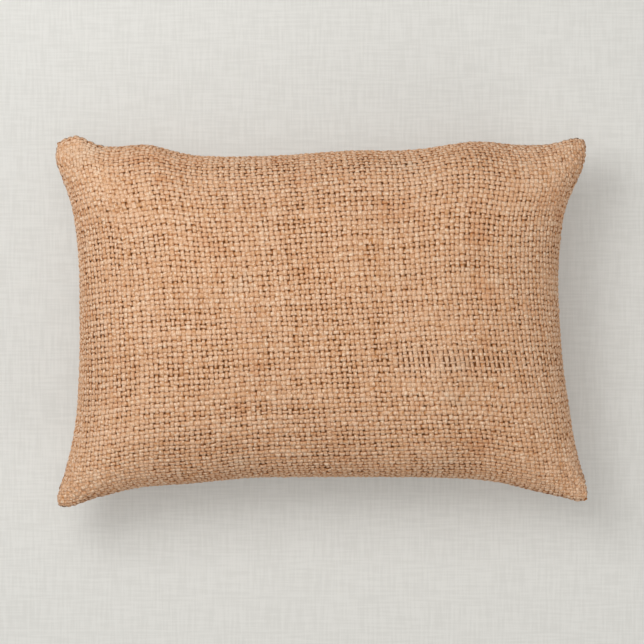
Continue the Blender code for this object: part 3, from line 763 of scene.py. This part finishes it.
def opened(u, v):
    """Cloth height v, eased away from the zip's line to leave the slot open."""
    away = np.abs(v - ZIP_CUT)
    ease = np.clip(1 - away / np.where(v < ZIP_CUT, CUT_HEIGHT / 2 + ZIP_CUT, FOLD_EASE), 0, 1)
    return v + np.copysign(slot_half(u, SLOT_HALF_WIDTH) * ease, v - ZIP_CUT)


def above_slot(u, v):
    return v > ZIP_CUT + slot_half(u, SLOT_HALF_WIDTH) + FOLD_STOP


def below_slot(u, v):
    return v < ZIP_CUT - slot_half(u, SLOT_HALF_WIDTH) - FOLD_STOP


back_warps, back_wefts = weave(BACK, opened, above_slot, 3, 12)
yarn_pieces(("back_warp_left", "back_warp_right"), shares(back_warps, 2), "back_panel")
yarn_pieces(("back_weft_lower", "back_weft_upper"), shares(back_wefts, 2), "back_panel")
yarn_pieces(("strip_warp", "strip_weft"), weave(BACK, opened, below_slot, 3, 13), "back_strip")

# ---- Lining ---------------------------------------------------------------------------------
# Thin brown cotton behind each piece of burlap, caught in the same seams. It shows as the dark
# of the weave's holes, and keeps loose jute off the insert.

LINING_DEPTH = 1.85 * MM
LINING_THICKNESS = 0.3 * MM
LINING_SLOT_HALF = 9.0 * MM


def weave_height_group():
    """Fine plain weave: a height from crossing bands, for cloth too fine to show its yarns."""
    tree, entry, out = new_group(
        "fine_weave",
        [("Vector", "NodeSocketVector", None), ("Threads", "NodeSocketFloat", 1500.0)],
        [("Height", "NodeSocketFloat"), ("Unevenness", "NodeSocketFloat")])
    parts = shader_node(tree, "ShaderNodeSeparateXYZ")
    link(tree, entry.outputs["Vector"], parts.inputs[0])
    waves = []
    for axis in ("X", "Y"):
        phase = arithmetic(tree, "MULTIPLY", parts.outputs[axis], entry.outputs["Threads"])
        waves.append(arithmetic(tree, "SINE", phase, 0.0))
    crossed = arithmetic(tree, "MULTIPLY", waves[0], waves[1])
    patches = noise(tree, entry.outputs["Vector"], 220.0, detail=4.0)
    link(tree, arithmetic(tree, "ADD", crossed, patches), out.inputs["Height"])
    link(tree, patches, out.inputs["Unevenness"])
    return tree


fine_weave = weave_height_group()


def cloth_material(name, dark, light, threads, roughness, relief):
    made, tree, shader, place = material(name)
    woven = place_group(tree, fine_weave, Vector=place, Threads=threads)
    blotch = place_group(tree, stain, Vector=place, Scale=40.0, Spread=0.45)
    shade = arithmetic(tree, "MULTIPLY", blotch.outputs["Mask"], 0.4)
    uneven = ramp(tree, woven.outputs["Unevenness"], 0.3, 0.7, 0.0, 0.6)
    colour = mix_colour(tree, arithmetic(tree, "ADD", shade, uneven), light, dark)
    link(tree, colour, shader.inputs["Base Color"])
    link(tree, ramp(tree, woven.outputs["Unevenness"], 0.2, 0.8, roughness, roughness - 0.1),
         shader.inputs["Roughness"])
    shader.inputs["Specular IOR Level"].default_value = 0.2
    shader.inputs["Sheen Weight"].default_value = 0.1
    add_relief(tree, shader, woven.outputs["Height"], 0.5, relief)
    return made


def sheet_mesh(name, grid, low_edge, high_edge, rows, flip):
    """Cloth between two edges, read off a panel's grid, with the thread crossings as columns."""
    columns = WARP_COUNT + 1
    u = np.linspace(-0.5, 0.5, columns)[:, None] * CUT_WIDTH + np.zeros((1, rows + 1))
    share = np.linspace(0, 1, rows + 1)[None]
    v = low_edge(u) * (1 - share) + high_edge(u) * share
    points = on_cloth(edge_ready(grid), u, v)
    faces = panel_faces(np.arange(columns * (rows + 1)).reshape(columns, rows + 1), flip)
    mesh = plain_mesh(name, points, faces.tolist())
    mesh.shade_smooth()
    baked = mesh.uv_layers.new(name="OFBake")
    flat = np.stack([u / CUT_WIDTH + 0.5, share + u * 0], axis=-1).reshape(-1, 2)
    baked.data.foreach_set("uv", (0.01 + 0.98 * flat)[faces.ravel()].ravel())
    return mesh


def add_sheet(mesh, finish, thickness, replaced):
    piece = add_piece(mesh.name, mesh, finish)
    body = piece.modifiers.new("thickness", "SOLIDIFY")
    body.thickness = thickness
    body.offset = -1
    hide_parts(replaced)


def bottom_edge(u):
    return u * 0 - CUT_HEIGHT / 2


def top_edge(u):
    return u * 0 + CUT_HEIGHT / 2


def lining_above(u):
    return ZIP_CUT + slot_half(u, LINING_SLOT_HALF, 0)


def lining_below(u):
    return ZIP_CUT - slot_half(u, LINING_SLOT_HALF, 0)


brown_cotton = cloth_material("brown_lining_cotton", (0.300, 0.110, 0.030),
                              (0.420, 0.165, 0.050), 5200.0, 0.9, 0.1 * MM)
front_lining_grid = front_layer(LINING_DEPTH)
back_lining_grid = back_layer(LINING_DEPTH, LINING_DEPTH)
main_height = CUT_HEIGHT / 2 - ZIP_CUT - LINING_SLOT_HALF
strip_height = CUT_HEIGHT / 2 + ZIP_CUT - LINING_SLOT_HALF * 0.7
for name, grid, low_edge, high_edge, rows, height, lies_on in (
        ("front_lining", front_lining_grid, bottom_edge, top_edge, 74, CUT_HEIGHT, "front"),
        ("back_lining", back_lining_grid, lining_above, top_edge, 66, main_height, "back"),
        ("strip_lining", back_lining_grid, bottom_edge, lining_below, 8, strip_height, "back")):
    mesh = sheet_mesh(name + "_cloth", grid, low_edge, high_edge, rows, lies_on == "back")
    add_sheet(mesh, brown_cotton, LINING_THICKNESS,
              name)

# ---- Zip tapes ------------------------------------------------------------------------------
# Two woven polyester tapes with a corded inner edge, sewn behind the folded edges of the slot.

TAPE_INNER = 1.1 * MM
TAPE_OUTER = 8.5 * MM
TAPE_HALF_LENGTH = 71.5 * MM
TAPE_MIDDLE = -1.8 * MM
TAPE_HALF_THICKNESS = 0.26 * MM
TAPE_CORD = 0.34 * MM


def at_zip_place(x, v, n):
    """A place on the zip: x along it, v across it and n out of the cover."""
    x, v, n = np.broadcast_arrays(x, v, n)
    place = ZIP_ORIGIN + v[..., None] * ZIP_ACROSS + n[..., None] * ZIP_NORMAL
    place[..., 0] += x
    return place


def tape_mesh(name, side):
    cord = [(0.3 * MM - 0.3 * MM * math.cos(turn), TAPE_CORD * math.sin(turn))
            for turn in np.linspace(-math.pi / 2, math.pi / 2, 7)]
    outline = [(TAPE_INNER + reach, rise) for reach, rise in cord]
    outline += [(TAPE_INNER + 0.7 * MM, TAPE_HALF_THICKNESS),
                (TAPE_OUTER - 0.2 * MM, TAPE_HALF_THICKNESS), (TAPE_OUTER, 0),
                (TAPE_OUTER - 0.2 * MM, -TAPE_HALF_THICKNESS),
                (TAPE_INNER + 0.7 * MM, -TAPE_HALF_THICKNESS)]
    across = np.array([point[0] for point in outline]) * side
    out = np.array([point[1] for point in outline]) + TAPE_MIDDLE
    stations = np.linspace(-TAPE_HALF_LENGTH, TAPE_HALF_LENGTH, 72)
    points = at_zip_place(stations[:, None], across[None], out[None])
    rings, sides = points.shape[:2]
    index = np.arange(rings * sides).reshape(rings, sides)
    around = np.concatenate([index, index[:, :1]], axis=1)
    faces = panel_faces(around, side < 0).tolist()
    ends = [index[0].tolist(), index[-1][::-1].tolist()]
    faces += ends if side < 0 else [end[::-1] for end in ends]
    mesh = plain_mesh(name, points, faces)
    mesh.shade_smooth()
    mesh.set_sharp_from_angle(angle=math.radians(50))
    return mesh


def tape_material():
    made, tree, shader, place = material("zip_tape_twill")
    ribs = shader_node(tree, "ShaderNodeTexWave", bands_direction="X")
    ribs.inputs["Scale"].default_value = 480.0
    ribs.inputs["Distortion"].default_value = 0.6
    ribs.inputs["Detail"].default_value = 2.0
    link(tree, tuned_vector(tree, place, (1, 1, 1), (0, 0, math.radians(38))),
         ribs.inputs["Vector"])
    soil = noise(tree, place, 90.0)
    colour = mix_colour(tree, ramp(tree, ribs.outputs["Fac"], 0.0, 1.0), (0.330, 0.205, 0.115),
                        (0.450, 0.300, 0.180))
    colour = mix_colour(tree, ramp(tree, soil, 0.45, 0.7, 0.0, 0.35), colour, (0.26, 0.16, 0.09))
    link(tree, colour, shader.inputs["Base Color"])
    link(tree, ramp(tree, soil, 0.2, 0.8, 0.85, 0.7), shader.inputs["Roughness"])
    add_relief(tree, shader, ribs.outputs["Fac"], 0.6, 0.12 * MM)
    return made


tape_twill = tape_material()
for row, side in (("upper", 1), ("lower", -1)):
    tape = add_piece("tape_" + row, tape_mesh("tape_" + row, side), tape_twill)
    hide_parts("zip_tape_" + row)

# ---- Zip teeth ------------------------------------------------------------------------------
# Each row of teeth is one nylon wire wound flat, 63 turns at 2 mm, sewn down to its tape by two
# lines of thread. The two rows mesh half a turn apart.

COIL_PITCH = 2.0 * MM
COIL_TURNS = 63
COIL_START = -65.7 * MM
COIL_WIRE = 0.3 * MM
COIL_MIDDLE = 0.825 * MM
COIL_REACH = 1.075 * MM
COIL_HEIGHT = -0.4 * MM
COIL_RISE = 0.5 * MM
TURN_STEPS = 14


def nylon_material():
    made, tree, shader, place = material("nylon_coil")
    scuffs = noise(tree, place, 700.0, detail=4.0)
    colour = mix_colour(tree, ramp(tree, scuffs, 0.35, 0.7), (0.330, 0.220, 0.130),
                        (0.470, 0.340, 0.220))
    link(tree, colour, shader.inputs["Base Color"])
    link(tree, ramp(tree, scuffs, 0.3, 0.8, 0.28, 0.5), shader.inputs["Roughness"])
    shader.inputs["Coat Weight"].default_value = 0.15
    return made


def thread_material():
    made, tree, shader, place = material("sewing_thread")
    plies = shader_node(tree, "ShaderNodeTexWave", bands_direction="DIAGONAL")
    plies.inputs["Scale"].default_value = 620.0
    plies.inputs["Distortion"].default_value = 1.2
    link(tree, place, plies.inputs["Vector"])
    fuzz = noise(tree, place, 2600.0)
    colour = mix_colour(tree, ramp(tree, plies.outputs["Fac"], 0.1, 0.9), (0.300, 0.180, 0.095),
                        (0.470, 0.310, 0.180))
    colour = mix_colour(tree, ramp(tree, fuzz, 0.5, 0.8, 0.0, 0.3), colour, (0.62, 0.46, 0.31))
    link(tree, colour, shader.inputs["Base Color"])
    link(tree, ramp(tree, fuzz, 0.2, 0.8, 0.7, 0.5), shader.inputs["Roughness"])
    add_relief(tree, shader, plies.outputs["Fac"], 0.6, 0.08 * MM)
    return made


nylon = nylon_material()
thread = thread_material()
along_zip = np.array([[1.0, 0.0, 0.0]])
for row, side in (("upper", 1), ("lower", -1)):
    turn = np.linspace(0, math.tau * COIL_TURNS, COIL_TURNS * TURN_STEPS + 1)
    start = COIL_START + (COIL_PITCH / 2 if side > 0 else 0)
    wire = at_zip_place(start + COIL_PITCH * turn / math.tau,
                        side * (COIL_MIDDLE + COIL_REACH * np.cos(turn)),
                        COIL_HEIGHT + COIL_RISE * np.sin(turn))
    tubes = [(wire, np.repeat(along_zip, len(wire), axis=0), COIL_WIRE, COIL_WIRE, 0.5, 0)]
    coil = add_piece("coil_" + row, tube_mesh("coil_" + row, tubes, 8), nylon)
    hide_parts("zip_coil_" + row)
    tubes = []
    for place in (1.42 * MM, 1.92 * MM):
        x = np.arange(start - COIL_PITCH, start + COIL_PITCH * (COIL_TURNS + 1), COIL_PITCH / 8)
        sewn = at_zip_place(x, side * place, -0.02 * MM + 0.26 * MM * np.cos(
            math.tau * (x - start) / COIL_PITCH - math.pi / 2))
        tubes.append((sewn, np.repeat(ZIP_NORMAL[None], len(x), axis=0), 0.17 * MM, 0.17 * MM, 0.5, 0))
    add_piece("coil_sewing_" + row, tube_mesh("coil_sewing_" + row, tubes, 6), thread)

# ---- Stitches beside the zip ----------------------------------------------------------------
# The folds are lockstitched to the tapes, a stitch every 3 mm, and a bar tack closes each end.
# The side seams and the back's short seams are sewn in the same thread, inside the cover.

STITCH = 3.0 * MM
STITCH_GAP = 0.55 * MM
STITCH_ROW = SLOT_HALF_WIDTH + 2.2 * MM
STITCH_THREAD = 0.24 * MM

for row, side in (("upper", 1), ("lower", -1)):
    tubes = []
    reach = 76 * MM
    for start in np.arange(-reach, reach - STITCH / 2, STITCH):
        share = np.linspace(0, 1, 9)
        x = start + STITCH_GAP / 2 + (STITCH - STITCH_GAP) * share
        dive = (np.abs(share * 2 - 1)) ** 5
        path = at_zip_place(x, side * STITCH_ROW, 0.22 * MM - 1.0 * MM * dive)
        tubes.append((path, np.repeat(ZIP_NORMAL[None], 9, axis=0), STITCH_THREAD,
                      STITCH_THREAD * (1 - 0.3 * dive), 0.5, 0))
    stitches = add_piece("topstitch_" + row, tube_mesh("topstitch_" + row, tubes, 6), thread)
    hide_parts("zip_topstitch_" + row)


def finish_node(name, finish):
    """Gives a carried CAD node its finish."""
    for place in nodes[name].material_slots:
        place.material = finish


for name in ("edge_seam_thread", "back_seam_thread_left", "back_seam_thread_right",
             "zip_bar_tack_left", "zip_bar_tack_right"):
    finish_node(name, thread)

# ---- Slider, pull and stops -----------------------------------------------------------------
# Die-cast slider and pull and clinched wire stops, plated in antique brass: dark where the
# plating was left in the hollows, bright where fingers and cloth have rubbed it.


def brass_material():
    made, tree, shader, place = material("antique_brass")
    patina = noise(tree, place, 420.0, detail=6.0, roughness=0.65)
    brushed = noise(tree, tuned_vector(tree, place, (300, 5200, 5200)), 1.0, detail=2.0)
    edges = ramp(tree, shader_node(tree, "ShaderNodeNewGeometry").outputs["Pointiness"],
                 0.5, 0.62, 0.0, 0.8)
    worn = arithmetic(tree, "MAXIMUM", ramp(tree, patina, 0.5, 0.68), edges)
    colour = mix_colour(tree, worn, (0.175, 0.110, 0.050), (0.610, 0.440, 0.220))
    link(tree, colour, shader.inputs["Base Color"])
    shader.inputs["Metallic"].default_value = 1.0
    link(tree, ramp(tree, worn, 0.0, 1.0, 0.52, 0.26), shader.inputs["Roughness"])
    add_relief(tree, shader, arithmetic(tree, "ADD", brushed, patina), 0.25, 0.03 * MM)
    return made


antique_brass = brass_material()
for name in ("zip_slider", "zip_pull", "zip_top_stop_upper", "zip_top_stop_lower",
             "zip_bottom_stop"):
    finish_node(name, antique_brass)

# ---- Insert ---------------------------------------------------------------------------------
# A white cotton bag, sewn round and closed by hand, blown full of loose polyester fibre.

CASING_DEPTH = 3.6 * MM
CASING_THICKNESS = 0.45 * MM
CASING_DEPTH_AT_ZIP = 5.2 * MM
FILL_DEPTH = 5.6 * MM
FILL_DEPTH_AT_ZIP = 7.2 * MM

white_cotton = cloth_material("white_casing_cotton", (0.700, 0.680, 0.630),
                              (0.850, 0.840, 0.800), 7000.0, 0.88, 0.08 * MM)
casing_grids = {"front": front_layer(CASING_DEPTH),
                "back": back_layer(CASING_DEPTH, CASING_DEPTH_AT_ZIP)}
for half, grid in casing_grids.items():
    mesh = sheet_mesh("insert_cloth_" + half, grid, bottom_edge, top_edge, 74, half == "back")
    add_sheet(mesh, white_cotton, CASING_THICKNESS,
              "insert_casing_" + half)
for name in ("insert_seam_thread", "insert_closing_thread"):
    finish_node(name, white_cotton)


def fibre_material():
    made, tree, shader, place = material("polyester_fibre")
    tufts = noise(tree, place, 120.0, detail=8.0, roughness=0.7)
    strands = noise(tree, tuned_vector(tree, place, (400, 2600, 900), (0.5, 0.2, 0.9)), 1.0,
                    detail=6.0)
    colour = mix_colour(tree, ramp(tree, tufts, 0.3, 0.7), (0.760, 0.760, 0.750),
                        (0.910, 0.910, 0.900))
    link(tree, colour, shader.inputs["Base Color"])
    link(tree, ramp(tree, strands, 0.2, 0.8, 0.95, 0.8), shader.inputs["Roughness"])
    add_relief(tree, shader, arithmetic(tree, "ADD", tufts, strands), 0.9, 0.5 * MM)
    return made


def fibre_mesh():
    """The fibre's closed form, lumpy where it packs."""
    chance = np.random.default_rng(5)
    u, v = np.meshgrid(np.linspace(-3, 3, WARP_COUNT + 1), np.linspace(-2, 2, WEFT_COUNT + 1),
                       indexing="ij")
    lumps = 0
    for turn in range(12):
        waves = chance.uniform(1.5, 5, 2)
        lumps = lumps + np.sin(u * waves[0] + turn) * np.sin(v * waves[1] + turn * 2)
    rim = (1 - (u / 3) ** 8) * (1 - (v / 2) ** 8)
    lumps = (lumps - lumps.max()) * 0.12 * MM * rim
    front = front_layer(FILL_DEPTH)
    back = back_layer(FILL_DEPTH, FILL_DEPTH_AT_ZIP)
    front[..., 2] += lumps
    back[..., 2] -= lumps
    points, faces, _, _ = sewn_round(front, back)
    mesh = plain_mesh("insert_fibre", points, faces.tolist())
    mesh.shade_smooth()
    return mesh


fibre = add_piece("insert_fibre", fibre_mesh(), fibre_material())
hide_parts("insert_fill")

# ---- Floor, light and camera ----------------------------------------------------------------
# The pillow lies on a pale linen cloth under a large soft light from the upper left, and is
# looked at from straight above. The cloth glows faintly as painted light, to lighten the shadows
# cast on it.

FLOOR_HALF = 3.0
CAMERA_HEIGHT = 1.7
VIEW_WIDTH = 302.7 * MM


def linen_material():
    made, tree, shader, place = material("pale_linen")
    across = noise(tree, tuned_vector(tree, place, (60, 900, 60)), 1.0, detail=2.0)
    up = noise(tree, tuned_vector(tree, place, (900, 60, 60)), 1.0, detail=2.0)
    threads = arithmetic(tree, "ADD", across, up)
    colour = mix_colour(tree, ramp(tree, threads, 0.75, 1.25), (0.452, 0.449, 0.430),
                        (0.490, 0.487, 0.468))
    link(tree, colour, shader.inputs["Base Color"])
    # The linen glows faintly though it is no lamp: painted light that lightens the shadows cast on it.
    link(tree, colour, shader.inputs["Emission Color"])
    shader.inputs["Emission Strength"].default_value = 0.36
    shader.inputs["Roughness"].default_value = 0.9
    shader.inputs["Specular IOR Level"].default_value = 0.2
    add_relief(tree, shader, threads, 0.12, 0.2 * MM)
    return made


floor_corners = np.array([(-1, -1, 0), (1, -1, 0), (1, 1, 0), (-1, 1, 0)]) * FLOOR_HALF
floor_mesh = plain_mesh("floor", floor_corners, [(0, 1, 2, 3)])
floor = bpy.data.objects.new("floor", floor_mesh)
floor.location.z = -0.5 * MM
bpy.context.scene.collection.objects.link(floor)
floor_mesh.materials.append(linen_material())


def soft_light(name, place, size, power, colour):
    lamp = bpy.data.lights.new(name, "AREA")
    lamp.shape = "DISK"
    lamp.size = size
    lamp.energy = power
    lamp.color = colour
    holder = bpy.data.objects.new(name, lamp)
    bpy.context.scene.collection.objects.link(holder)
    holder.location = place
    holder.rotation_euler = (Vector((0, 0, 0.03)) - Vector(place)).to_track_quat(
        "-Z", "Y").to_euler()


soft_light("window_light", (-0.30, 0.25, 0.62), 0.40, 2.85, (1.0, 1.0, 0.995))
soft_light("ceiling_light", (-0.2, 0.15, 1.5), 1.2, 5.7, (1.0, 0.985, 0.955))
soft_light("bounce_light", (0.75, -0.55, 0.55), 0.5, 1.9, (1.0, 0.97, 0.92))
world = bpy.data.worlds.new("studio")
world.use_nodes = True
world.node_tree.nodes["Background"].inputs["Color"].default_value = (1.0, 0.985, 0.955, 1)
world.node_tree.nodes["Background"].inputs["Strength"].default_value = 0.46
bpy.context.scene.world = world
bpy.context.scene.view_settings.view_transform = "Standard"

camera_data = bpy.data.cameras.new("camera")
camera_data.sensor_width = 36
camera_data.lens = 36 * (CAMERA_HEIGHT - SEAM_HEIGHT) / VIEW_WIDTH
camera = bpy.data.objects.new("camera", camera_data)
camera.location = (0.5 * MM, -0.2 * MM, CAMERA_HEIGHT)
bpy.context.scene.collection.objects.link(camera)
bpy.context.scene.camera = camera
